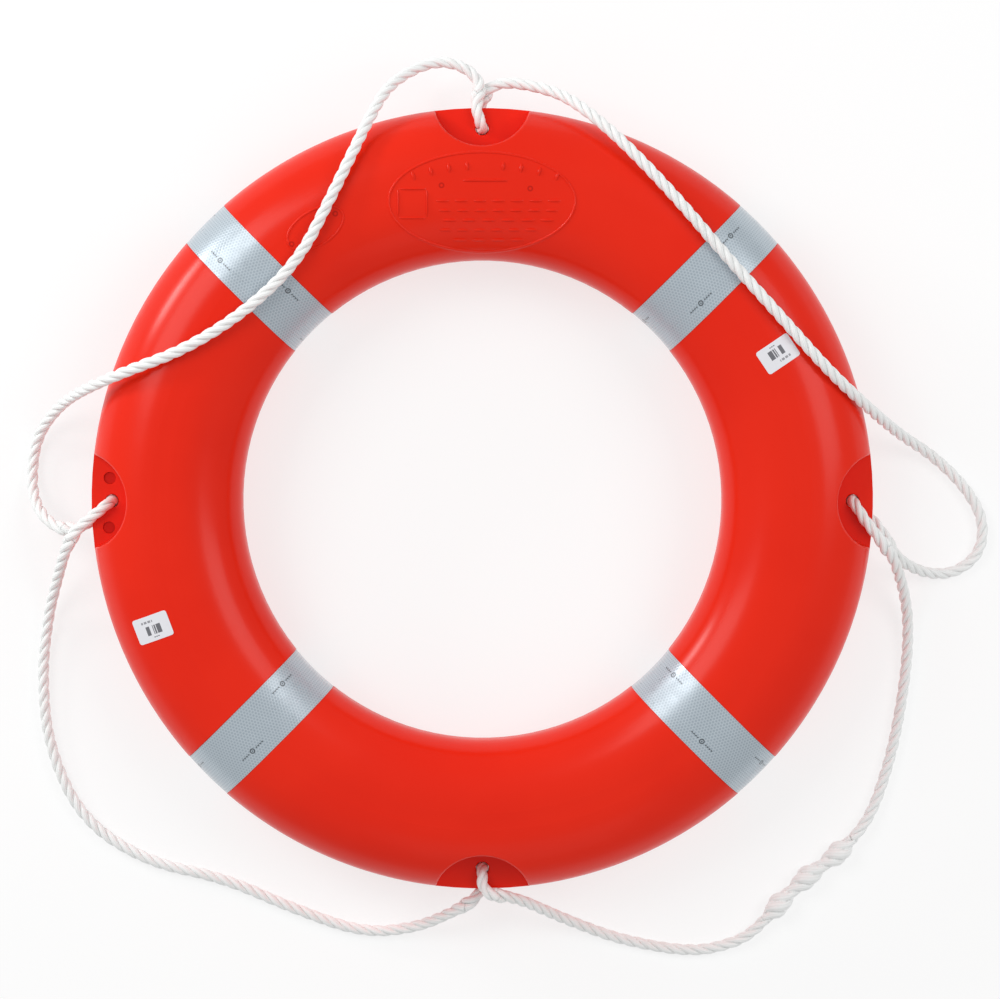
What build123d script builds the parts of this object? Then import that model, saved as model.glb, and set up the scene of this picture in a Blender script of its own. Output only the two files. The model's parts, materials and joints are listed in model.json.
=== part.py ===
from build123d import *
import math
import os

# Ring lifebuoy, lying on its back face. Millimetres, +Z up through the ring's axis.
# The origin is on the floor under the centre of the ring.

# ---- driving dimensions ----
OUTER_D = 750.0         # over the ring
INNER_D = 460.0         # central opening
THICKNESS = 110.0       # front face to back face
FACE_LAND = 16.0        # flat band round the crest of each face
BORE_LAND = 8.0         # straight wall at the waist of the central opening
WALL = 2.5              # moulded shell
FOAM_GAP = 0.2          # between the shell's inside and the foam

BAND_W = 50.0           # reflective tape
BAND_T = 0.4
GROOVE_W = 51.0         # moulded seat of the tape
GROOVE_DEPTH = 0.8
BAND_GAP = 0.05         # glue line under the tape
BAND_ANGLES = {"upper_right": 45, "upper_left": 135, "lower_left": 225, "lower_right": 315}

RECESS_R = 46.0         # rope recess at its floor
RECESS_CENTRE_R = 384.0 # from the ring's axis to the recess's own axis
RECESS_DRAFT = 3.5      # degrees, on the recess wall
RECESS_ANGLES = {"right": 0, "top": 90, "left": 180, "bottom": 270}
WEB_T = 14.0            # between the front and back recess floors
RIM_ROUND = 2.5         # round on the recess's mouth
HOLE_ROUND = 1.5        # round on both rims of a rope hole
ROPE_HOLE_R = 6.2
ROPE_HOLE_AT = 355.0    # from the ring's axis

PORT_R = 5.75           # foam filling ports, in the left recess's front floor
PORTS = {"fill": (-357.0, 22.0), "vent": (-358.0, -25.5)}
PLUG_R = 5.7
PLUG_SUNK = 1.2         # plug's top below the recess floor
PLUG_BARB_R = 6.4
PLUG_BARB_T = 1.8

PANEL_LINE = 1.6        # raised outline of the blank oval panels
PANEL_RISE = 0.5
BIG_PANEL = {"at": (0.0, 283.0), "half": (88.0, 47.0), "turn": 0.0}
SMALL_PANEL = {"at": (-156.0, 258.0), "half": (30.0, 17.0), "turn": 31.5}

LABEL_SIZE = (35.5, 24.5)
LABEL_CORNER = 2.5
LABEL_T = 0.2
LABELS = {
    "left": {"at": (-311.0, -118.0), "turn": 20.5},
    "right": {"at": (278.0, 140.5), "turn": 34.0},
}

ROPE_D = 10.0
SPLICE_D = 18.0         # rope's own strands woven over each other
LEG_Z = WEB_T / 2 + ROPE_D / 2 + 0.8    # rope's centre above and below the web's middle

# ---- worked out from them ----
MID_Z = THICKNESS / 2
MID_R = (OUTER_D + INNER_D) / 4
HALF_W = (OUTER_D - INNER_D) / 4
WEB_TOP = MID_Z + WEB_T / 2

# ---- rope routes ----
# Each anchor is a bight of rope through its hole: "over" is its upper leg and "under" its
# lower one, each from the hole outwards. Every piece of rope ends halfway along the
# straight run from its last point to the next piece's first, so the faces meet square.
UP = MID_Z + LEG_Z
DOWN = MID_Z - LEG_Z
ANCHORS = {
    "top": {
        "hole": (0, ROPE_HOLE_AT),
        "over": [(-5, 371, UP + 0.5), (-5, 380.5, 66.8)],
        "under": [(-3, 371, DOWN - 0.5), (-2, 379.5, 43)],
    },
    "left": {
        "hole": (-ROPE_HOLE_AT, 0),
        "over": [(-371, -13, UP + 0.5), (-389.5, -27.5, 64.5)],
        "under": [(-370, -14, DOWN - 0.5), (-389.5, -29.5, 44.5)],
    },
    "bottom": {
        "hole": (0, -ROPE_HOLE_AT),
        "over": [(-0.5, -370, UP + 1.5), (6.5, -378.5, UP + 2)],
        "under": [(0, -371, DOWN - 1), (-6.5, -384.2, 43)],
    },
    "right": {
        "hole": (ROPE_HOLE_AT, 0),
        "over": [(365, -17, UP + 1), (379, -34, 68)],
        "under": [(371, -14, DOWN - 0.5), (383, -26.5, 42.5)],
    },
}

TOP_LEFT = [
    (-1.5, 396, 61.5), (-9, 408, 58), (-24, 417, 55), (-44, 419.5, 54), (-67, 411, 59),
    (-89, 394, 73), (-104, 366, 93), (-122, 326, 112), (-143, 282, 117.5), (-171, 228, 117),
    (-219, 181.5, 117.5), (-276.5, 145, 117.5), (-335, 123.5, 114), (-378.5, 107, 81),
    (-409.5, 91.5, 31), (-436, 61.5, 5.5), (-442, 20, 5.5), (-435, -7.5, 16), (-415.5, -25.5, 37),
]
BOTTOM_LEFT = [
    (-400.5, -46, 52), (-407, -61, 40), (-416, -84, 23), (-426, -116, 8), (-433, -172, 5.5),
    (-427.5, -244, 5.5), (-395, -317, 5.5), (-331, -359, 5.5), (-256, -374.5, 5.5),
    (-190, -404, 5.5), (-119, -429.5, 5.5), (-66, -423.5, 9), (-28, -401.5, 33.5),
]
BOTTOM_RIGHT_A = [
    (22, -381, 66.5), (40, -389, 50), (61, -402, 31), (91, -418.5, 12), (138.5, -437, 5.5),
    (207, -449, 5.5), (251, -437.5, 6), (275, -419.5, 9.5),
]
SPLICE = [(299, -391, 9.5), (333, -362, 9.5), (352, -348, 9.5)]
BOTTOM_RIGHT_B = [
    (375, -322.5, 9.5), (388.5, -296.5, 6), (404.5, -243, 5.5), (416, -172, 5.5),
    (417.5, -122, 9), (410.5, -90, 24), (402, -70, 44), (395.5, -55, 55),
]
TOP_RIGHT = [
    (5, 394, 46.8), (20, 400, 48.5), (40, 398, 52), (59.5, 393, 58.5), (79.5, 384.5, 71),
    (106, 363.5, 93), (138, 333, 109), (184, 284, 114.5), (228.5, 231.5, 116), (280, 175, 116),
    (325.5, 124.5, 111.5), (366.5, 89.5, 84), (403, 63.5, 34), (439.5, 42.5, 6), (471, 13, 5.5),
    (491, -20, 5.5), (488, -54.5, 5.5), (462, -74.5, 5.5), (430, -73, 17), (399, -56, 43),
]

# anchor: (next piece's point past the upper leg, and past the lower leg)
ANCHOR_NEXT = {
    "top": (TOP_LEFT[0], TOP_RIGHT[0]),
    "left": (BOTTOM_LEFT[0], TOP_LEFT[-1]),
    "bottom": (BOTTOM_RIGHT_A[0], BOTTOM_LEFT[-1]),
    "right": (BOTTOM_RIGHT_B[-1], TOP_RIGHT[-1]),
}
# node: (point before it, its points, point after it)
SPANS = {
    "grab_line_top_left": (ANCHORS["top"]["over"][-1], TOP_LEFT, ANCHORS["left"]["under"][-1]),
    "grab_line_top_right": (ANCHORS["top"]["under"][-1], TOP_RIGHT, ANCHORS["right"]["under"][-1]),
    "grab_line_bottom_left": (
        ANCHORS["left"]["over"][-1], BOTTOM_LEFT, ANCHORS["bottom"]["under"][-1],
    ),
    "grab_line_bottom_right_a": (ANCHORS["bottom"]["over"][-1], BOTTOM_RIGHT_A, SPLICE[0]),
    "rope_splice": (BOTTOM_RIGHT_A[-1], SPLICE, BOTTOM_RIGHT_B[0]),
    "grab_line_bottom_right_b": (SPLICE[-1], BOTTOM_RIGHT_B, ANCHORS["right"]["over"][-1]),
}


def section(inset=0.0):
    """The ring's section as a face, its walls moved inwards by inset."""
    wide = HALF_W - FACE_LAND / 2 - inset
    tall = THICKNESS / 2 - inset
    inner_tall = tall - BORE_LAND / 2
    x_in, x_out = MID_R - FACE_LAND / 2, MID_R + FACE_LAND / 2
    z_low, z_high = MID_Z - BORE_LAND / 2, MID_Z + BORE_LAND / 2
    outline = [
        EllipticalCenterArc((x_out, MID_Z), wide, tall, -90, arc_size=180),
        Line((x_out, MID_Z + tall), (x_in, MID_Z + tall)),
        EllipticalCenterArc((x_in, z_high), wide, inner_tall, 90, arc_size=90),
        Line((x_in - wide, z_high), (x_in - wide, z_low)),
        EllipticalCenterArc((x_in, z_low), wide, inner_tall, 180, arc_size=90),
        Line((x_in, MID_Z - tall), (x_out, MID_Z - tall)),
    ]
    return Plane.XZ * make_face(Curve() + outline)


def ring(inset=0.0):
    """A whole ring of that section."""
    return revolve(section(inset), Axis.Z, 360)


def around(angle, shape):
    """The shape turned about the ring's axis."""
    return Rot(0, 0, angle) * shape


def recess_cutter(grow=0.0):
    """The front and back halves of one rope recess at angle 0, walls moved out by grow."""
    depth = THICKNESS
    floor_z = WEB_T / 2 - grow
    flare = depth * math.tan(math.radians(RECESS_DRAFT))
    half = Cone(RECESS_R + grow, RECESS_R + grow + flare, depth)
    front = Pos(RECESS_CENTRE_R, 0, MID_Z + floor_z + depth / 2) * half
    back = Pos(RECESS_CENTRE_R, 0, MID_Z - floor_z - depth / 2) * Rot(180, 0, 0) * half
    return front + back


def cut_recesses(body, grow=0.0):
    """The body without the four rope recesses."""
    for angle in RECESS_ANGLES.values():
        body -= around(angle, recess_cutter(grow))
    return body


def cut_rope_tubes(body, grow=0.0):
    """The body without the four rope holes, each grown by that wall."""
    hole = Pos(ROPE_HOLE_AT, 0, MID_Z) * Cylinder(ROPE_HOLE_R + grow, THICKNESS)
    for angle in RECESS_ANGLES.values():
        body -= around(angle, hole)
    return body


def band_slab(width):
    """A radial slab at angle 0 that takes in one side of the ring's section."""
    return Pos(MID_R, 0, MID_Z) * Box(4 * HALF_W, width, 2 * THICKNESS)


def panel_outline(panel):
    """The raised line of an oval panel on the front face."""
    half_x, half_y = panel["half"]
    line = Ellipse(half_x, half_y) - Ellipse(half_x - PANEL_LINE, half_y - PANEL_LINE)
    prism = extrude(line, THICKNESS)
    place = Pos(*panel["at"], MID_Z) * Rot(0, 0, panel["turn"])
    layer = ring(-PANEL_RISE) - ring(WALL / 2)
    return layer & (place * prism)


def recess_mouth_edges(body):
    """The edges where the recess walls meet the ring's faces."""
    mouths = []
    for edge in body.edges():
        middle = edge @ 0.5
        above_floor = abs(middle.Z - MID_Z) > WEB_T / 2 + 1
        inboard = math.hypot(middle.X, middle.Y) < RECESS_CENTRE_R
        if edge.geom_type not in (GeomType.CIRCLE, GeomType.LINE) and above_floor and inboard:
            mouths.append(edge)
    return mouths


def rope_hole_edges(body):
    """The rims of the rope holes, front and back."""
    rims = body.edges().filter_by(GeomType.CIRCLE)
    return [rim for rim in rims if abs(rim.radius - ROPE_HOLE_R) < 1e-3]


def make_shell():
    """One-piece moulded shell, hollow, with its recesses, tape seats and raised panels."""
    body = cut_recesses(ring())
    body = body.fillet(RIM_ROUND, recess_mouth_edges(body))
    body = cut_rope_tubes(body)
    body = body.fillet(HOLE_ROUND, rope_hole_edges(body))
    groove = (ring(-1.0) - ring(GROOVE_DEPTH)) & band_slab(GROOVE_W)
    for angle in BAND_ANGLES.values():
        body -= around(angle, groove)
    cavity = cut_rope_tubes(cut_recesses(ring(WALL), WALL), WALL)
    body -= cavity
    port = Cylinder(PORT_R, 2 * WALL)
    for place in PORTS.values():
        body -= Pos(*place, WEB_TOP) * port
    for panel in (BIG_PANEL, SMALL_PANEL):
        body += panel_outline(panel)
    return body


def make_foam_core():
    """Closed-cell foam that fills the shell."""
    inset = WALL + FOAM_GAP
    body = cut_rope_tubes(cut_recesses(ring(inset), inset), inset)
    barb_room = PLUG_BARB_T + 2 * FOAM_GAP
    top = WEB_TOP - WALL
    for place in PORTS.values():
        body -= Pos(*place, top - barb_room / 2) * Cylinder(PLUG_BARB_R + 0.6, barb_room + 2 * FOAM_GAP)
    return body


def make_plug(place):
    """A snap-in port plug: a shank in the port with a barb behind the wall."""
    barb_top = WEB_TOP - WALL - 0.05
    shank_top = WEB_TOP - PLUG_SUNK
    overlap = 0.3
    shank_h = shank_top - barb_top + overlap
    shank = Pos(0, 0, shank_top - shank_h / 2) * Cylinder(PLUG_R, shank_h)
    shank = shank.fillet(0.5, shank.edges().sort_by(Axis.Z)[-1:])
    barb = Pos(0, 0, barb_top - PLUG_BARB_T / 2) * Cone(PLUG_R - 0.8, PLUG_BARB_R, PLUG_BARB_T)
    return Pos(*place, 0) * (shank + barb)


def make_band(angle):
    """Reflective tape all the way round the section, in its groove."""
    under = GROOVE_DEPTH - BAND_GAP
    tape = (ring(under - BAND_T) - ring(under)) & band_slab(BAND_W)
    return around(angle, tape)


def make_label(label):
    """A stock label stuck to the curved front face."""
    lift = 0.02
    layer = ring(-LABEL_T - lift) - ring(-lift)
    prism = extrude(RectangleRounded(*LABEL_SIZE, LABEL_CORNER), THICKNESS)
    return layer & (Pos(*label["at"], MID_Z) * Rot(0, 0, label["turn"]) * prism)


def corner_radii(route):
    """For each inner point, the largest radius that its two runs allow."""
    radii = []
    for before, point, after in zip(route, route[1:], route[2:]):
        run_in = Vector(*point) - Vector(*before)
        run_out = Vector(*after) - Vector(*point)
        half_turn = math.radians(run_in.get_angle(run_out)) / 2
        radii.append(0.45 * min(run_in.length, run_out.length) / math.tan(half_turn))
    return radii


def rope(name, route, diameter=ROPE_D):
    """A tube along straight runs joined by arcs. Prints its radii and volume."""
    radii = corner_radii(route)
    path = FilletPolyline(*route, radius=radii)
    tube = sweep(Plane(origin=path @ 0, z_dir=path % 0) * Circle(diameter / 2), path=path)
    expected = math.pi * diameter**2 / 4 * path.length
    print(name, "length", round(path.length, 1), "volume ratio", round(tube.volume / expected, 4))
    print("    radii", [round(radius) for radius in radii])
    return tube


def anchor_piece(name):
    """An anchor's points, from its upper way out, down through the hole and out below."""
    anchor = ANCHORS[name]
    x, y = anchor["hole"]
    points = [*reversed(anchor["over"]), (x, y, UP), (x, y, DOWN), *anchor["under"]]
    over_next, under_next = ANCHOR_NEXT[name]
    return over_next, points, under_next


def with_ends(before, points, after):
    """The points with a meeting face added at each end."""
    first = (Vector(*before) + Vector(*points[0])) * 0.5
    last = (Vector(*points[-1]) + Vector(*after)) * 0.5
    return [tuple(first), *points, tuple(last)]


def main():
    os.makedirs("parts", exist_ok=True)
    parts = {"shell": make_shell(), "foam_core": make_foam_core()}
    for name, place in PORTS.items():
        parts[f"{name}_plug"] = make_plug(place)
    for name, angle in BAND_ANGLES.items():
        parts[f"reflective_band_{name}"] = make_band(angle)
    for name, label in LABELS.items():
        parts[f"stock_label_{name}"] = make_label(label)
    for name in ANCHORS:
        node = f"rope_anchor_{name}"
        parts[node] = rope(node, with_ends(*anchor_piece(name)))
    for node, piece in SPANS.items():
        diameter = SPLICE_D if node == "rope_splice" else ROPE_D
        parts[node] = rope(node, with_ends(*piece), diameter)
    for node, solid in parts.items():
        export_step(solid, f"parts/{node}.step")


main()
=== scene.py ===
import json
import math

import bpy
import numpy as np
from mathutils import Matrix, Vector


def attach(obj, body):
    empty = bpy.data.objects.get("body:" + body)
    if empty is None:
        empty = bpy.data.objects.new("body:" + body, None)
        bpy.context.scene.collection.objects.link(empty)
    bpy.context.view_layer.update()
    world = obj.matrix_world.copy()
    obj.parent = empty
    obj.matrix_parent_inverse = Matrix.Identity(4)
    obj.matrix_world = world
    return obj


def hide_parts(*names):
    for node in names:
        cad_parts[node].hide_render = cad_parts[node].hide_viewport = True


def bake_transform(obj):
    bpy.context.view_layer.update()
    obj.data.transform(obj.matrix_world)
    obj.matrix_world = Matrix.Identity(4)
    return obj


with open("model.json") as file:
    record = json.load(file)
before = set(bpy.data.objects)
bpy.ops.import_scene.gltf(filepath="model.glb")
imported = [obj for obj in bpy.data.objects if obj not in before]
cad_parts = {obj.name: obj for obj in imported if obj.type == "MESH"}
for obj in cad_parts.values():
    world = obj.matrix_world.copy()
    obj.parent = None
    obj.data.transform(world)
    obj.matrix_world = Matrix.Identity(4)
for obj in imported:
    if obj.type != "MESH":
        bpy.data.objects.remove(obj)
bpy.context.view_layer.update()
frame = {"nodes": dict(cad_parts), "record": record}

# ---- sizes, in metres unless said; the section and the recesses are the CAD's ----
MID_Z = 0.055                           # the parting plane
FACE_OUT, FACE_IN = 0.3105, 0.2945      # edges of the flat land on each face
WIDE, TALL_OUT, TALL_IN = 0.0645, 0.055, 0.051      # half sizes of the section
WAIST = 0.004                           # half height of the straight wall at the waist
TAPE_W, TAPE_TOP, TAPE_UNDER = 0.050, 0.00035, 0.00075      # width, depths in the section
TAPE_ROWS, TAPE_COLUMNS = 300, 14
POCKET_AT, POCKET_R = 0.384, 0.0475     # rope recess: its centre on an axis, its radius
LAY = 0.039                             # one turn of a strand
STRAND_AT = 0.0029                      # strand's centre from the rope's
STRAND_THICK, STRAND_WIDE = 0.00265, 0.0030
LINE_STEP = 0.00125                     # between the points of a rope's centre line
STRAND_SIDES = 12
TUCK_REACH, LOBE_REACH, HOLE_REACH = 0.016, 0.009, 0.011    # how far each shows along a rope
PIPS = ((-0.0377, 0.2979), (0.0453, 0.2949), (-0.1782, 0.243), (-0.1372, 0.2715))
PIP_R = 0.0020                          # round moulding pips in the oval panels
LABELS = {"left": (-0.311, -0.118, 20.5), "right": (0.278, 0.1405, 34.0)}      # x, y, degrees
BANDS = (                               # name, degrees, millimetres to its first printed mark
    ("upper_right", 45, 8.3), ("upper_left", 135, -0.3),
    ("lower_left", 225, 115.5), ("lower_right", 315, 36.4),
)
MARK_PITCH, MARK_ROW = 132.0, 12.4      # millimetres along and across the tape
SUNK = -0.0003                          # the foot of a raised mark, inside the shell

# ---- camera, lights and floor ----
CAMERA_AT, CAMERA_AIM = (0.017, 0.125, 2.655), (0.017, 0.001, 0.055)
LENS_MM, SENSOR_MM = 97.5, 36.0
LIGHTS = (                              # name, place, aim, size, watts
    ("key", (-2.35, 1.5, 0.85), (0, 0, 0.05), (0.6, 0.45), 21),
    ("left_box", (-1.9, 1.3, 2.4), (0, 0, 0), (1.6, 1.6), 34),
    ("right_box", (2.1, 0.8, 2.4), (0, 0, 0), (1.6, 1.6), 27),
    ("foot_box", (0.2, -2.4, 2.2), (0, 0, 0), (1.6, 1.6), 2.5),
)
WORLD_STRENGTH = 0.50
FLOOR_HALF, FLOOR_GREY, FLOOR_GLOW = 40.0, 0.32, 0.68

# ---- rope routes, in millimetres: the CAD's, drawn together where the spans meet ----
UP, DOWN = 67.8, 42.2                   # the rope's middle over and under the web
ANCHORS = {
    "top": {
        "hole": (0, 355),
        "over": [(-5, 371, UP + 0.5), (-5, 380.5, 64)],
        "under": [(-3, 371, DOWN - 0.5), (-2, 379.5, 45.5)],
    },
    "left": {
        "hole": (-355, 0),
        "over": [(-371, -13, UP + 0.5), (-389.5, -27.5, 63)],
        "under": [(-370, -14, DOWN - 0.5), (-389.5, -29.5, 51)],
    },
    "bottom": {
        "hole": (0, -355),
        "over": [(-0.5, -370, UP + 1.5), (6.5, -378.5, UP + 2)],
        "under": [(0, -371, DOWN - 1), (-4, -385, 52)],
    },
    "right": {
        "hole": (355, 0),
        "over": [(365, -17, UP + 1), (379, -34, 67)],
        "under": [(371, -14, DOWN - 0.5), (383, -26.5, 50)],
    },
}
TOP_LEFT = [
    (-1.5, 396, 57.5), (-9, 408, 56), (-24, 417, 55), (-44, 419.5, 54), (-67, 411, 59),
    (-89, 394, 73), (-104, 366, 93), (-122, 326, 112), (-143, 282, 117.5), (-171, 228, 117),
    (-219, 181.5, 117.5), (-276.5, 145, 117.5), (-335, 123.5, 114), (-378.5, 107, 81),
    (-409.5, 91.5, 31), (-436, 61.5, 5.5), (-442, 20, 5.5), (-435, -7.5, 20), (-415.5, -25.5, 42),
]
BOTTOM_LEFT = [
    (-400.5, -46, 55), (-407, -61, 42), (-416, -84, 23), (-426, -116, 8), (-433, -172, 5.5),
    (-427.5, -244, 5.5), (-395, -317, 5.5), (-331, -359, 5.5), (-256, -374.5, 5.5),
    (-190, -404, 5.5), (-119, -429.5, 5.5), (-66, -423.5, 10), (-28, -401.5, 40),
]
BOTTOM_RIGHT_A = [
    (22, -381, 66.5), (40, -389, 50), (61, -402, 31), (91, -418.5, 12), (138.5, -437, 5.5),
    (207, -449, 5.5), (249, -439, 6), (268, -426.5, 8.5),
]
SPLICE = [(288, -404, 10.2), (310, -380.5, 10.6), (333, -362, 10.6), (352, -348, 9.9)]
BOTTOM_RIGHT_B = [
    (375, -322.5, 9.5), (388.5, -296.5, 6), (404.5, -243, 5.5), (416, -172, 5.5),
    (417.5, -122, 9), (410.5, -90, 24), (402, -70, 44), (395.5, -55, 55),
]
TOP_RIGHT = [
    (5, 394, 50), (20, 400, 50), (40, 398, 52), (59.5, 393, 58.5), (79.5, 384.5, 71),
    (106, 363.5, 93), (138, 333, 109), (184, 284, 114.5), (228.5, 231.5, 116), (280, 175, 116),
    (325.5, 124.5, 111.5), (366.5, 89.5, 84), (403, 63.5, 34), (439.5, 42.5, 6), (471, 13, 5.5),
    (491, -20, 5.5), (488, -54.5, 5.5), (462, -74.5, 5.5), (430, -73, 17), (399, -56, 43),
]


def anchor_points(name):
    anchor = ANCHORS[name]
    x, y = anchor["hole"]
    return [*reversed(anchor["over"]), (x, y, UP), (x, y, DOWN), *anchor["under"]]


# the rope once round, from the splice back to it, as (piece, points) in order
CHAIN = [
    ("grab_line_bottom_right_b", BOTTOM_RIGHT_B),
    ("rope_anchor_right", anchor_points("right")),
    ("grab_line_top_right", TOP_RIGHT[::-1]),
    ("rope_anchor_top", anchor_points("top")[::-1]),
    ("grab_line_top_left", TOP_LEFT),
    ("rope_anchor_left", anchor_points("left")[::-1]),
    ("grab_line_bottom_left", BOTTOM_LEFT),
    ("rope_anchor_bottom", anchor_points("bottom")[::-1]),
    ("grab_line_bottom_right_a", BOTTOM_RIGHT_A),
    ("rope_splice", SPLICE),
]
SWINGS = {                              # piece: its body, and how far it leans up in degrees
    "grab_line_top_left": ("line_top_left", 30),
    "grab_line_top_right": ("line_top_right", 30),
    "grab_line_bottom_left": ("line_bottom_left", -15),
    "grab_line_bottom_right_a": ("line_bottom_right", -15),
    "rope_splice": ("line_bottom_right", None),
    "grab_line_bottom_right_b": ("line_bottom_right", -15),
}


def nurbs_points(control):
    """Points along the NURBS spline that the control points give."""
    data = bpy.data.curves.new("route", "CURVE")
    data.dimensions = "3D"
    spline = data.splines.new("NURBS")
    spline.points.add(len(control) - 1)
    for point, place in zip(spline.points, control):
        point.co = (*place, 1.0)
    spline.order_u = 3
    spline.use_endpoint_u = True
    spline.resolution_u = 24
    curve = bpy.data.objects.new("route", data)
    bpy.context.scene.collection.objects.link(curve)
    bpy.context.view_layer.update()
    mesh = bpy.data.meshes.new_from_object(curve)
    points = np.array([v.co[:] for v in mesh.vertices])
    bpy.data.objects.remove(curve)
    bpy.data.curves.remove(data)
    bpy.data.meshes.remove(mesh)
    return points


def evenly(points, step):
    """The same line with its points a constant step apart."""
    along = np.r_[0.0, np.cumsum(np.linalg.norm(np.diff(points, axis=0), axis=1))]
    count = max(8, round(along[-1] / step))
    at = np.linspace(0.0, along[-1], count + 1)
    return np.column_stack([np.interp(at, along, points[:, k]) for k in range(3)])


def chain_lines():
    """Each piece's line in metres, its ends shared with its neighbours."""
    lines = []
    for index, (name, points) in enumerate(CHAIN):
        before = CHAIN[index - 1][1][-1]
        after = CHAIN[(index + 1) % len(CHAIN)][1][0]
        first = (np.array(before) + points[0]) / 2
        last = (np.array(points[-1]) + after) / 2
        control = np.array([first, *points, last]) / 1000
        lines.append((name, evenly(nurbs_points(control), LINE_STEP)))
    return lines


def unit(rows):
    return rows / np.linalg.norm(rows, axis=-1, keepdims=True)


def carried_frames(line):
    """Tangents, and two normals carried along the line without twist."""
    tangents = unit(np.gradient(line, axis=0))
    normal = unit(np.cross(tangents[0], (0.0, 0.0, 1.0)))
    normals = []
    for tangent in tangents:
        normal = unit(normal - tangent * (normal @ tangent))
        normals.append(normal)
    normals = np.array(normals)
    return tangents, normals, np.cross(tangents, normals)


def strand_mesh(name, strands):
    """One mesh of closed strands. Each is its centre line and, at each point, the way out from
    the rope's middle and its half sizes that way and across. The UV map holds the place round
    the strand and the distance along it in centimetres."""
    around = STRAND_SIDES
    angles = np.linspace(0, 2 * math.pi, around, endpoint=False)
    vertices, faces, uvs = [], [], []
    for path, out, thick, wide in strands:
        tangent = unit(np.gradient(path, axis=0))
        out = unit(out - tangent * np.sum(out * tangent, axis=1, keepdims=True))
        across = np.cross(tangent, out)
        rings = path[:, None] + (
            np.cos(angles)[None, :, None] * (out * thick[:, None])[:, None]
            + np.sin(angles)[None, :, None] * (across * wide[:, None])[:, None]
        )
        along = np.r_[0.0, np.cumsum(np.linalg.norm(np.diff(path, axis=0), axis=1))] * 100
        base, count = len(vertices), len(path)
        vertices.extend(rings.reshape(-1, 3).tolist())
        for k in range(count - 1):
            low, high = base + k * around, base + (k + 1) * around
            for j in range(around):
                n = (j + 1) % around
                faces.append((low + j, low + n, high + n, high + j))
                u0, u1 = j / around, (j + 1) / around
                uvs += [(u0, along[k]), (u1, along[k]), (u1, along[k + 1]), (u0, along[k + 1])]
        faces.append(tuple(range(base + around - 1, base - 1, -1)))
        faces.append(tuple(range(base + (count - 1) * around, base + count * around)))
        uvs += [(0.0, 0.0)] * around + [(0.0, along[-1])] * around
    mesh = bpy.data.meshes.new(name)
    mesh.from_pydata(vertices, [], faces)
    mesh.uv_layers.new(name="UVMap").data.foreach_set("uv", np.array(uvs).ravel())
    mesh.shade_smooth()
    return mesh


def add_object(name, mesh, material):
    thing = bpy.data.objects.new(name, mesh)
    bpy.context.scene.collection.objects.link(thing)
    mesh.materials.append(material)
    return thing


def near(along, centre, reach):
    """1 at the centre, falling smoothly to 0 at that reach."""
    t = np.clip(1 - np.abs(along - centre) / reach, 0, 1)
    return t * t * (3 - 2 * t)


def helix(line, frames, phase, reach):
    """A strand's centre line round the rope's, and its way out."""
    _, side, up = frames
    out = np.cos(phase)[:, None] * side + np.sin(phase)[:, None] * up
    return line + out * reach[:, None], out


def rope_strands(line, frames, along, tucks, holes):
    """Three strands laid right-handed, opened where the rope is tucked through itself and
    pressed flat against each other where it fills a hole."""
    none = np.zeros(len(along))
    swell = sum((near(along, tuck, TUCK_REACH) for tuck in tucks), none)
    press = sum((near(along, hole, HOLE_REACH) for hole in holes), none)
    lobe = sum((near(along, tuck, LOBE_REACH) for tuck in tucks), none)
    strands = []
    for strand in range(3):
        phase = 2 * math.pi * (strand / 3 + along / LAY)
        reach = STRAND_AT * (1 + 0.30 * swell + 0.09 * press)
        if strand == 0:
            reach = reach + 0.0010 * lobe
        thick = STRAND_THICK * (1 + 0.24 * swell + 0.07 * press)
        wide = STRAND_WIDE * (1 + 0.22 * swell + 0.45 * press)
        path, out = helix(line, frames, phase, reach)
        strands.append((path, out, thick, wide))
    return strands


def splice_strands(line, frames, along):
    """Both ends' strands woven over each other, thick at each of three tucks."""
    s = (along - along[0]) / (along[-1] - along[0])
    rise = 1 - near(s, 0.0, 0.12) - near(s, 1.0, 0.12)
    lobe = 0.5 - 0.5 * np.cos(6 * math.pi * s)
    strands = []
    for strand in range(3):
        phase = 2 * math.pi * (strand / 3 + along / LAY)
        reach = STRAND_AT + rise * (0.0008 + 0.0032 * lobe)
        thick = STRAND_THICK + rise * (0.0002 + 0.0014 * lobe)
        path, out = helix(line, frames, phase, reach)
        strands.append((path, out, thick, STRAND_WIDE + rise * (0.0006 + 0.0018 * lobe)))
    inner = (s > 0.04) & (s < 0.96)
    for strand in range(3):
        phase = -2 * math.pi * (strand / 3 + 0.1 + along / (1.35 * LAY))
        reach = 0.0015 + rise * (0.0016 + 0.0022 * lobe)
        path, out = helix(line, frames, phase, reach)
        thick = 0.0010 + rise * (0.0015 + 0.0010 * lobe)
        strands.append((path[inner], out[inner], thick[inner], 1.35 * thick[inner]))
    return strands


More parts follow.
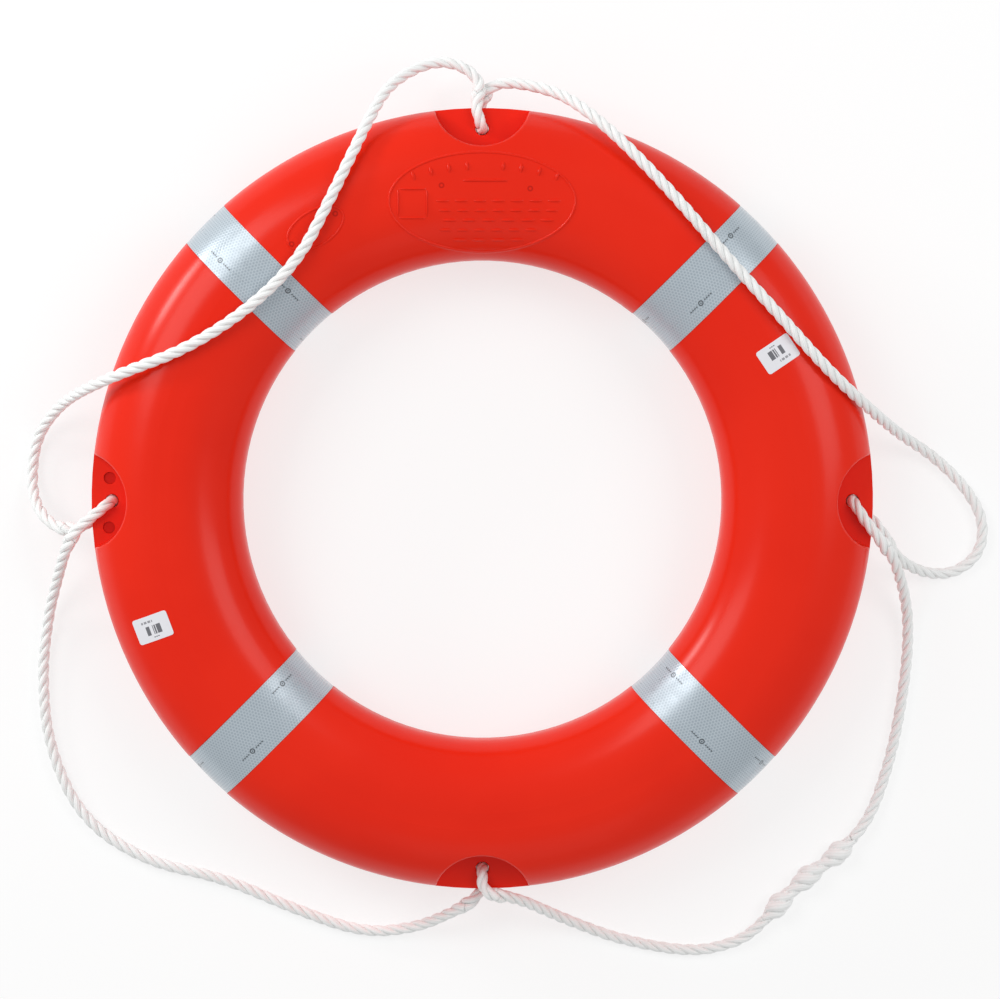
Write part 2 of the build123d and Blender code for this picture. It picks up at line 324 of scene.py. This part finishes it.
def make_ropes(material):
    """The rope as one line, cut into its pieces; each piece without a lean is attached to its
    body.
    """
    lines = chain_lines()
    whole = np.vstack([line[:-1] for _, line in lines] + [lines[-1][1][-1:]])
    steps = np.r_[0.0, np.cumsum(np.linalg.norm(np.diff(whole, axis=0), axis=1))]
    frames = carried_frames(whole)
    starts = np.cumsum([0] + [len(line) - 1 for _, line in lines])
    tucks, holes = [], []
    for (name, line), first, last in zip(lines, starts, starts[1:]):
        if name.startswith("rope_anchor"):
            tucks += [steps[first], steps[last]]
            holes.append(steps[first + int(np.argmin(np.linalg.norm(line[:, :2], axis=1)))])
    pieces = {}
    for (name, line), first, last in zip(lines, starts, starts[1:]):
        part = slice(first, last + 1)
        own = [f[part] for f in frames]
        if name == "rope_splice":
            strands = splice_strands(whole[part], own, steps[part])
        else:
            strands = rope_strands(whole[part], own, steps[part], tucks, holes)
        piece = add_object(name + "_rope", strand_mesh(name + "_rope", strands), material)
        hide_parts(name)
        pieces[name] = (piece, line)
    joints = {joint["child"]: joint for joint in frame["record"]["behaviour"]["joints"]}
    for name, (piece, _) in pieces.items():
        body, lean = SWINGS.get(name, ("ring", None))
        if lean is None:
            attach(piece, body)
            continue
        axis, pivot = Vector(joints[body]["axis"]), Vector(joints[body]["pos_m"])
        outward = axis.cross(Vector((0, 0, 1))).normalized()
        if outward.dot(pivot) < 0:
            outward = -outward
        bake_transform(piece)


# ---- materials ----
class Nodes:
    """Short calls for a material's node tree."""

    def __init__(self, name):
        self.material = bpy.data.materials.new(name)
        self.material.use_nodes = True
        self.tree = self.material.node_tree
        self.tree.nodes.clear()
        self.shader = self.add("ShaderNodeBsdfPrincipled")
        output = self.add("ShaderNodeOutputMaterial")
        self.link(self.shader.outputs["BSDF"], output.inputs["Surface"])

    def add(self, kind, **settings):
        node = self.tree.nodes.new(kind)
        for key, value in settings.items():
            setattr(node, key, value)
        return node

    def link(self, source, target):
        self.tree.links.new(source, target)

    def put(self, value, target):
        if hasattr(value, "is_linked"):
            self.link(value, target)
        else:
            target.default_value = value

    def math(self, operation, *values):
        node = self.add("ShaderNodeMath", operation=operation)
        for value, target in zip(values, node.inputs):
            self.put(value, target)
        return node.outputs[0]

    def xyz(self, vector):
        node = self.add("ShaderNodeSeparateXYZ")
        self.link(vector, node.inputs[0])
        return node.outputs

    def vector(self, x, y):
        node = self.add("ShaderNodeCombineXYZ")
        self.put(x, node.inputs[0])
        self.put(y, node.inputs[1])
        return node.outputs[0]

    def place(self):
        return self.add("ShaderNodeTexCoord").outputs["Object"]

    def uv(self):
        return self.add("ShaderNodeTexCoord").outputs["UV"]

    def noise(self, scale, detail=2.0, rough=0.5):
        node = self.add("ShaderNodeTexNoise")
        node.inputs["Scale"].default_value = scale
        node.inputs["Detail"].default_value = detail
        node.inputs["Roughness"].default_value = rough
        self.link(self.place(), node.inputs["Vector"])
        return node.outputs["Fac"]

    def band(self, value, low, high):
        """0 below low, 1 above high, smooth between."""
        node = self.add("ShaderNodeMapRange", interpolation_type="SMOOTHSTEP")
        self.put(value, node.inputs["Value"])
        node.inputs["From Min"].default_value = low
        node.inputs["From Max"].default_value = high
        return node.outputs["Result"]

    def fade(self, value, low, high):
        """1 below low, 0 above high, smooth between."""
        return self.math("SUBTRACT", 1.0, self.band(value, low, high))

    def times(self, *values):
        product = values[0]
        for value in values[1:]:
            product = self.math("MULTIPLY", product, value)
        return product

    def apart(self, a, b):
        """How far a is from b."""
        return self.math("ABSOLUTE", self.math("SUBTRACT", a, b))

    def length(self, a, b):
        """The length of the vector (a, b)."""
        return self.math("SQRT", self.math("ADD", self.times(a, a), self.times(b, b)))

    def repeat(self, value, pitch, shift=0.0):
        """The place within each repeat of the pitch, -0.5 to 0.5, with 0 at its middle."""
        turn = self.math("ADD", self.math("DIVIDE", value, pitch), shift)
        return self.math("SUBTRACT", self.math("FRACT", turn), 0.5)

    def spread(self, value, low, high, out_low, out_high):
        node = self.add("ShaderNodeMapRange")
        self.put(value, node.inputs["Value"])
        node.inputs["From Min"].default_value = low
        node.inputs["From Max"].default_value = high
        node.inputs["To Min"].default_value = out_low
        node.inputs["To Max"].default_value = out_high
        return node.outputs["Result"]

    def mix(self, factor, a, b):
        node = self.add("ShaderNodeMix", data_type="RGBA")
        self.put(factor, node.inputs["Factor"])
        for value, target in ((a, node.inputs[6]), (b, node.inputs[7])):
            self.put((*value, 1.0) if isinstance(value, tuple) else value, target)
        return node.outputs[2]

    def bump(self, height, distance, strength, below=None):
        node = self.add("ShaderNodeBump")
        self.put(height, node.inputs["Height"])
        node.inputs["Distance"].default_value = distance
        node.inputs["Strength"].default_value = strength
        if below is not None:
            self.link(below, node.inputs["Normal"])
        return node.outputs["Normal"]

    def finish(self, color, roughness, normal, **values):
        """The finished material. The last values are inputs' names, with _ for a space."""
        color = (*color, 1.0) if isinstance(color, tuple) else color
        self.put(color, self.shader.inputs["Base Color"])
        self.put(roughness, self.shader.inputs["Roughness"])
        self.link(normal, self.shader.inputs["Normal"])
        for key, value in values.items():
            self.put(value, self.shader.inputs[key.replace("_", " ")])
        return self.material


def shell_material():
    """Moulded polyethylene: fine grain, a parting line, faint scuffs, and painted light in the
    recesses that lifts their shade.
    """
    n = Nodes("ring_shell")
    x, y, z = n.xyz(n.place())
    radius = n.length(x, y)
    patch = n.noise(7.0, 3.0)
    color = n.mix(n.band(patch, 0.35, 0.65), (0.775, 0.0175, 0.0040), (0.805, 0.0205, 0.0050))
    scuff = n.band(n.noise(38.0, 8.0, rough=0.75), 0.68, 0.82)
    color = n.mix(n.times(scuff, 0.07), color, (0.88, 0.22, 0.15))
    off_line = n.apart(z, MID_Z)
    outside = n.band(n.apart(radius, (FACE_OUT + FACE_IN) / 2), 0.066, 0.070)
    ridge = n.times(n.fade(off_line, 0.0003, 0.0011), outside)
    color = n.mix(n.times(ridge, 0.35), color, (0.84, 0.04, 0.02))
    across, along = n.math("ABSOLUTE", x), n.math("ABSOLUTE", y)
    near_axis = n.math("MINIMUM", across, along)
    far_axis = n.math("SUBTRACT", n.math("MAXIMUM", across, along), POCKET_AT)
    from_hub = n.length(near_axis, far_axis)
    # painted light: the recesses' red is made lighter to lift the shade that falls in them
    recess_painted_light = n.times(
        n.fade(off_line, 0.012, 0.034), n.fade(from_hub, POCKET_R - 0.001, POCKET_R + 0.001),
    )
    color = n.mix(n.times(recess_painted_light, 0.6), color, (0.86, 0.0185, 0.0060))
    for px, py in PIPS:
        far = n.length(n.math("SUBTRACT", x, px), n.math("SUBTRACT", y, py))
        # painted shade: a dark ring round each pip stands in for the shade in its groove
        pip_groove_shade = n.fade(n.apart(far, PIP_R), 0.0004, 0.0011)
        color = n.mix(n.times(pip_groove_shade, 0.6), color, (0.36, 0.004, 0.002))
    grain = n.noise(1400.0, 2.0)
    peel = n.noise(160.0, 2.0)
    normal = n.bump(peel, 0.00020, 0.25)
    normal = n.bump(grain, 0.00006, 0.4, normal)
    normal = n.bump(ridge, 0.0005, 1.0, normal)
    rough = n.spread(n.noise(22.0, 4.0), 0.3, 0.7, 0.29, 0.35)
    rough = n.math("ADD", rough, n.times(scuff, 0.12))
    return n.finish(
        color, rough, normal, Specular_IOR_Level=0.06, Coat_Weight=0.28, Coat_Roughness=0.21,
    )


def plug_material():
    n = Nodes("port_plug")
    normal = n.bump(n.noise(1200.0, 2.0), 0.00008, 0.6)
    rough = n.spread(n.noise(60.0, 3.0), 0.3, 0.7, 0.36, 0.50)
    # the plugs' red is partly their own colour and partly painted shade for their sunk seats
    return n.finish((0.58, 0.0085, 0.0035), rough, normal, Specular_IOR_Level=0.15)


def foam_material():
    n = Nodes("foam")
    cells = n.add("ShaderNodeTexVoronoi")
    n.link(n.place(), cells.inputs["Vector"])
    cells.inputs["Scale"].default_value = 900.0
    normal = n.bump(cells.outputs["Distance"], 0.0004, 0.6)
    color = n.mix(n.noise(40.0), (0.80, 0.72, 0.45), (0.86, 0.80, 0.56))
    return n.finish(color, 0.85, normal)


def tape_material():
    """Retroreflective film: a honeycomb of fine cells under clear plastic, with printed marks."""
    n = Nodes("reflective_tape")
    u, v, _ = n.xyz(n.uv())
    pitch, tall = 3.1, 1.732            # cells' spacing along the tape, and its ratio across

    def lattice(shift):
        row = n.times(n.repeat(v, pitch * tall, shift), tall)
        return n.length(n.repeat(u, pitch, shift), row)

    cell = n.math("MINIMUM", lattice(0.0), lattice(0.5))
    wall = n.band(cell, 0.40, 0.52)
    dot = n.fade(cell, 0.16, 0.30)
    color = n.mix(wall, (0.42, 0.49, 0.545), (0.55, 0.615, 0.665))
    color = n.mix(n.times(dot, 0.55), color, (0.27, 0.33, 0.39))
    # painted highlight: a pale line along both edges of the tape
    tape_edge_highlight = n.band(n.math("ABSOLUTE", v), 24.2, 24.8)
    color = n.mix(n.times(tape_edge_highlight, 0.5), color, (0.62, 0.66, 0.70))

    def mark(row, shift):
        """A small printed ring with dashes each side, repeated along the tape."""
        a = n.times(n.repeat(u, MARK_PITCH, 0.5 + shift), MARK_PITCH)
        b = n.math("SUBTRACT", v, row)
        far, along = n.length(a, b), n.math("ABSOLUTE", a)
        ring = n.fade(n.apart(far, 2.1), 0.45, 0.75)
        hub = n.fade(far, 0.6, 0.9)
        dashes = n.times(n.band(along, 4.4, 4.7), n.fade(along, 14.0, 14.3))
        gaps = n.band(n.math("ABSOLUTE", n.repeat(along, 2.6)), 0.10, 0.18)
        dashes = n.times(dashes, gaps, n.fade(n.math("ABSOLUTE", b), 0.55, 0.75))
        return n.math("MAXIMUM", n.math("MAXIMUM", ring, hub), dashes)

    ink = n.math("MAXIMUM", mark(MARK_ROW, 0.0), mark(-MARK_ROW, 0.5))
    color = n.mix(n.times(ink, 0.85), color, (0.035, 0.045, 0.055))
    height = n.math("SUBTRACT", wall, n.times(dot, 0.4))
    normal = n.bump(height, 0.00012, 0.35)
    normal = n.bump(n.noise(60.0, 2.0), 0.0002, 0.2, normal)
    rough = n.spread(n.noise(90.0, 3.0), 0.3, 0.7, 0.26, 0.38)
    return n.finish(color, rough, normal, Metallic=0.25, Coat_Weight=0.5, Coat_Roughness=0.22)


def label_material(name):
    """White vinyl with a block of plain bars and short dashes."""
    x0, y0, turn = LABELS[name]
    n = Nodes("stock_label_" + name)
    x, y, _ = n.xyz(n.place())
    dx = n.times(n.math("SUBTRACT", x, x0), 1000.0)
    dy = n.times(n.math("SUBTRACT", y, y0), 1000.0)
    upside_down = 180.0 if name == "right" else 0.0
    angle = math.radians(turn + upside_down)
    c, s = math.cos(angle), math.sin(angle)
    a = n.math("ADD", n.times(dx, c), n.times(dy, s))
    b = n.math("SUBTRACT", n.times(dy, c), n.times(dx, s))
    soft = 0.08                         # millimetres, half the width of an edge

    def inside(value, low, high):
        start = n.band(value, low - soft, low + soft)
        return n.times(start, n.fade(value, high - soft, high + soft))

    def block(a_low, a_high, b_low, b_high):
        return n.times(inside(a, a_low, a_high), inside(b, b_low, b_high))

    def gaps(pitch, low, high):
        return n.band(n.math("FRACT", n.math("DIVIDE", a, pitch)), low, high)

    random = n.add("ShaderNodeTexWhiteNoise", noise_dimensions="1D")
    n.link(n.math("FLOOR", n.math("DIVIDE", a, 0.75)), random.inputs["W"])
    bars = n.times(
        block(-7.0, 9.0, -6.2, 2.6), n.math("GREATER_THAN", random.outputs["Value"], 0.42),
    )
    dashes = n.times(block(-9.5, 2.0, 5.6, 7.8), gaps(3.8, 0.24, 0.30))
    low = n.times(block(-2.0, 4.0, -9.2, -8.2), gaps(2.0, 0.25, 0.35))
    ink = n.math("MAXIMUM", n.math("MAXIMUM", bars, n.times(dashes, 0.75)), low)
    color = n.mix(n.times(ink, 0.88), (0.78, 0.78, 0.82), (0.06, 0.06, 0.075))
    normal = n.bump(n.noise(700.0, 2.0), 0.00005, 0.4)
    return n.finish(color, 0.42, normal, Coat_Weight=0.2, Coat_Roughness=0.3)


def rope_material():
    """Twisted polyolefin strands, each of fine yarns, with a soft sheen."""
    n = Nodes("rope")
    u, v, _ = n.xyz(n.uv())
    yarn = n.math("ADD", n.times(u, 9.0), n.times(v, 1.15))
    wobble = n.times(n.noise(160.0, 3.0), 0.5)
    wave = n.math("SINE", n.times(n.math("ADD", yarn, wobble), 2 * math.pi))
    fibre = n.add("ShaderNodeTexNoise")
    n.link(n.vector(n.times(yarn, 3.0), n.times(v, 0.6)), fibre.inputs["Vector"])
    fibre.inputs["Scale"].default_value = 2.4
    fibre.inputs["Detail"].default_value = 4.0
    patch = n.noise(24.0, 3.0)
    color = n.mix(n.band(wave, -1.0, 0.2), (0.86, 0.87, 0.86), (0.92, 0.93, 0.925))
    color = n.mix(n.times(n.band(patch, 0.50, 0.72), 0.35), color, (0.83, 0.82, 0.795))
    # painted shade: each strand is darker on its side facing the rope's middle, between the
    # strands
    inward = n.math("MINIMUM", u, n.math("SUBTRACT", 1.0, u))
    strand_valley_shade = n.band(inward, 0.17, 0.30)
    color = n.mix(n.times(strand_valley_shade, 0.20), color, (0.66, 0.66, 0.65))
    normal = n.bump(wave, 0.00016, 0.40)
    normal = n.bump(fibre.outputs["Fac"], 0.00016, 0.4, normal)
    rough = n.spread(fibre.outputs["Fac"], 0.3, 0.7, 0.48, 0.66)
    return n.finish(
        color, rough, normal, Sheen_Weight=0.25,
        Subsurface_Weight=0.08, Subsurface_Radius=(0.002, 0.002, 0.002),
    )


def floor_material():
    n = Nodes("floor")
    normal = n.bump(n.noise(90.0, 2.0), 0.0001, 0.1)
    return n.finish(
        (FLOOR_GREY,) * 3, 0.9, normal, Specular_IOR_Level=0.0,
        Emission_Color=(1.0, 1.0, 1.0, 1.0), Emission_Strength=FLOOR_GLOW,
    )


# ---- tape ----
# where each piece of the section starts and ends, as parts of the rows of a strip
SHARES = np.cumsum([0.0, 0.235, 0.045, 0.45, 0.045, 0.2, 0.025])


def section_point(inset, t):
    """A point of the ring's section, t running 0 to 1 from the inner waist over the front
    face to the outer edge and back under. Returns radius and height."""
    out, tall, tall_in = WIDE - inset, TALL_OUT - inset, TALL_IN - inset
    pieces = [
        ("arc", FACE_IN, MID_Z + WAIST, out, tall_in, 180, 90),
        ("line", (FACE_IN, MID_Z + tall), (FACE_OUT, MID_Z + tall)),
        ("arc", FACE_OUT, MID_Z, out, tall, 90, -90),
        ("line", (FACE_OUT, MID_Z - tall), (FACE_IN, MID_Z - tall)),
        ("arc", FACE_IN, MID_Z - WAIST, out, tall_in, -90, -180),
        ("line", (FACE_IN - out, MID_Z - WAIST), (FACE_IN - out, MID_Z + WAIST)),
    ]
    index = int(min(np.searchsorted(SHARES, t, side="right") - 1, len(pieces) - 1))
    local = (t - SHARES[index]) / (SHARES[index + 1] - SHARES[index])
    kind = pieces[index]
    if kind[0] == "line":
        a, b = kind[1], kind[2]
        return a[0] + (b[0] - a[0]) * local, a[1] + (b[1] - a[1]) * local
    _, cx, cz, rx, rz, start, stop = kind
    angle = math.radians(start + (stop - start) * local)
    return cx + rx * math.cos(angle), cz + rz * math.sin(angle)


def make_tape(name, angle, first_mark, material):
    """A strip of film round the section, straight across, with its own thickness."""
    rows, across = TAPE_ROWS, TAPE_COLUMNS
    top, bottom = (
        [section_point(inset, k / rows) for k in range(rows)] for inset in (TAPE_TOP, TAPE_UNDER)
    )
    lengths = [0.0]
    for k in range(rows):
        a, b = top[k], top[(k + 1) % rows]
        lengths.append(lengths[-1] + math.hypot(b[0] - a[0], b[1] - a[1]) * 1000)
    vertices, faces, uvs = [], [], []
    for radius, height in top + bottom:
        for j in range(across + 1):
            w = TAPE_W * (j / across - 0.5)
            turn = math.radians(angle) + math.asin(w / radius)
            vertices.append((radius * math.cos(turn), radius * math.sin(turn), height))
    width = across + 1
    under = rows * width

    def place(k, j):
        return lengths[k] - first_mark, 1000 * TAPE_W * (j / across - 0.5)

    for k in range(rows):
        low, high = k * width, ((k + 1) % rows) * width
        for j in range(across):
            here, ahead = low + j, high + j
            faces.append((here, ahead, ahead + 1, here + 1))
            uvs += [place(k, j), place(k + 1, j), place(k + 1, j + 1), place(k, j + 1)]
            here, ahead = under + here, under + ahead
            faces.append((here, here + 1, ahead + 1, ahead))
            uvs += [place(k, j), place(k, j + 1), place(k + 1, j + 1), place(k + 1, j)]
        for j, order in ((0, 1), (across, -1)):     # the strip's two edges
            quad = [low + j, under + low + j, under + high + j, high + j][::order]
            faces.append(tuple(quad))
            uvs += [place(k, j)] * 4
    mesh = bpy.data.meshes.new(name)
    mesh.from_pydata(vertices, [], faces)
    mesh.uv_layers.new(name="UVMap").data.foreach_set("uv", np.array(uvs).ravel())
    mesh.shade_smooth()
    mesh.set_sharp_from_angle(angle=math.radians(35))
    piece = add_object(name + "_film", mesh, material)
    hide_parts(name)
    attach(piece, "ring")


# ---- raised marks on the front face ----
def face_height(x, y):
    """The front face's height over a point."""
    radius = math.hypot(x, y)
    if radius < FACE_IN:
        base, tall, past = MID_Z + WAIST, TALL_IN, FACE_IN - radius
    else:
        base, tall, past = MID_Z, TALL_OUT, max(0.0, radius - FACE_OUT)
    return base + tall * math.sqrt(max(0.0, 1 - (past / WIDE) ** 2))


def raised_bar(vertices, faces, centre, half_x, half_y, turn=0.0, rise=0.0008):
    """A low rounded bar that follows the face."""
    c, s = math.cos(turn), math.sin(turn)
    steps = max(2, round(half_x / 0.002))
    base = len(vertices)
    shoulder = rise * 0.75
    profile = [
        (-1.0, SUNK), (-0.8, shoulder), (-0.45, rise), (0.45, rise), (0.8, shoulder), (1.0, SUNK),
    ]
    for k in range(steps + 1):
        a = half_x * (2 * k / steps - 1)
        taper = 0.55 if k in (0, steps) else 1.0
        for b, lift in profile:
            b *= half_y * taper
            x, y = centre[0] + a * c - b * s, centre[1] + a * s + b * c
            lift = lift if taper == 1.0 else SUNK
            vertices.append((x, y, face_height(x, y) + lift))
    row = len(profile)
    for k in range(steps):
        for j in range(row - 1):
            low, high = base + k * row + j, base + (k + 1) * row + j
            faces.append((low, high, high + 1, low + 1))


def raised_oval(vertices, faces, centre, half, turn):
    """A low rounded line round an oval, over the shell's own raised outline."""
    c, s = math.cos(math.radians(turn)), math.sin(math.radians(turn))
    profile = (
        (-0.0014, SUNK), (-0.0010, 0.0006), (-0.0004, 0.0009),
        (0.0004, 0.0009), (0.0010, 0.0006), (0.0014, SUNK),
    )
    steps, base, row = 160, len(vertices), len(profile)
    for k in range(steps):
        angle = 2 * math.pi * k / steps
        for side, lift in profile:
            a, b = (half[0] + side) * math.cos(angle), (half[1] + side) * math.sin(angle)
            x, y = centre[0] + a * c - b * s, centre[1] + a * s + b * c
            vertices.append((x, y, face_height(x, y) + lift))
    for k in range(steps):
        for j in range(row - 1):
            low, high = base + k * row + j, base + (k + 1) % steps * row + j
            faces.append((low, low + 1, high + 1, high))


def make_marks(material):
    """Blank raised bars and a plain square frame inside the two oval panels."""
    vertices, faces = [], []
    for k in range(8):
        turn = (3.5 - k) * 0.062 + (0.03 if k < 4 else -0.03)
        at = (0.003 - 0.2755 * math.sin(turn), 0.3165 - 0.16 * turn**2)
        raised_bar(vertices, faces, at, 0.0052, 0.0016, turn * 1.1 + math.pi / 2, 0.0014)
    raised_bar(vertices, faces, (0.003, 0.3025), 0.022, 0.0009, rise=0.0012)
    for middle, turn in (
        ((-0.065, 0.2945), 0.0), ((-0.065, 0.2675), 0.0),
        ((-0.0785, 0.281), math.pi / 2), ((-0.0515, 0.281), math.pi / 2),
    ):
        raised_bar(vertices, faces, middle, 0.0135, 0.0008, turn, 0.0012)
    for y, middle_x, half in (
        (0.2835, 0.0155, 0.061), (0.2745, 0.0155, 0.0585), (0.2655, 0.0155, 0.055),
        (0.2565, 0.006, 0.048), (0.2475, 0.006, 0.036),
    ):
        count = max(3, round(half / 0.0085))
        for k in range(count):
            x = middle_x + half * ((2 * k + 1) / count - 1)
            raised_bar(vertices, faces, (x, y), half / count * 0.80, 0.0011, rise=0.0012)
    raised_oval(vertices, faces, (0.0, 0.283), (0.0872, 0.0462), 0.0)
    raised_oval(vertices, faces, (-0.156, 0.258), (0.0292, 0.0162), 31.5)
    raised_bar(vertices, faces, (-0.157, 0.2575), 0.013, 0.0009, math.radians(31.5))
    mesh = bpy.data.meshes.new("raised_marks")
    mesh.from_pydata(vertices, [], faces)
    mesh.shade_smooth()
    piece = add_object("raised_marks", mesh, material)
    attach(piece, "ring")


# ---- stage ----
def make_camera():
    camera = bpy.data.objects.new("camera", bpy.data.cameras.new("camera"))
    camera.data.lens = LENS_MM
    camera.data.sensor_width = SENSOR_MM
    camera.location = CAMERA_AT
    back = (camera.location - Vector(CAMERA_AIM)).normalized()
    right = Vector((0, 1, 0)).cross(back).normalized()
    turn = Matrix((right, back.cross(right), back)).transposed()
    camera.rotation_euler = turn.to_euler()
    bpy.context.scene.collection.objects.link(camera)
    bpy.context.scene.camera = camera


def area_light(name, place, aim, size, watts):
    light = bpy.data.lights.new(name, "AREA")
    light.shape = "RECTANGLE"
    light.size, light.size_y = size
    light.energy = watts
    thing = bpy.data.objects.new(name, light)
    thing.location = place
    thing.rotation_euler = (Vector(aim) - Vector(place)).to_track_quat("-Z", "Y").to_euler()
    bpy.context.scene.collection.objects.link(thing)


def make_stage():
    mesh = bpy.data.meshes.new("floor")
    h = FLOOR_HALF
    mesh.from_pydata([(-h, -h, 0), (h, -h, 0), (h, h, 0), (-h, h, 0)], [], [(0, 1, 2, 3)])
    add_object("floor", mesh, floor_material())
    world = bpy.data.worlds.new("studio")
    bpy.context.scene.world = world
    world.use_nodes = True
    background = world.node_tree.nodes["Background"]
    background.inputs["Color"].default_value = (1.0, 1.0, 1.0, 1.0)
    background.inputs["Strength"].default_value = WORLD_STRENGTH
    for light in LIGHTS:
        area_light(*light)
    make_camera()
    bpy.context.scene.view_settings.view_transform = "Standard"


def dress(node, material):
    for slot in frame["nodes"][node].material_slots:
        slot.material = material


make_ropes(rope_material())
shell = shell_material()
dress("shell", shell)
dress("foam_core", foam_material())
plug = plug_material()
dress("fill_plug", plug)
dress("vent_plug", plug)
for side in LABELS:
    dress("stock_label_" + side, label_material(side))
tape = tape_material()
for name, angle, first_mark in BANDS:
    make_tape("reflective_band_" + name, angle, first_mark, tape)
make_marks(shell)
make_stage()
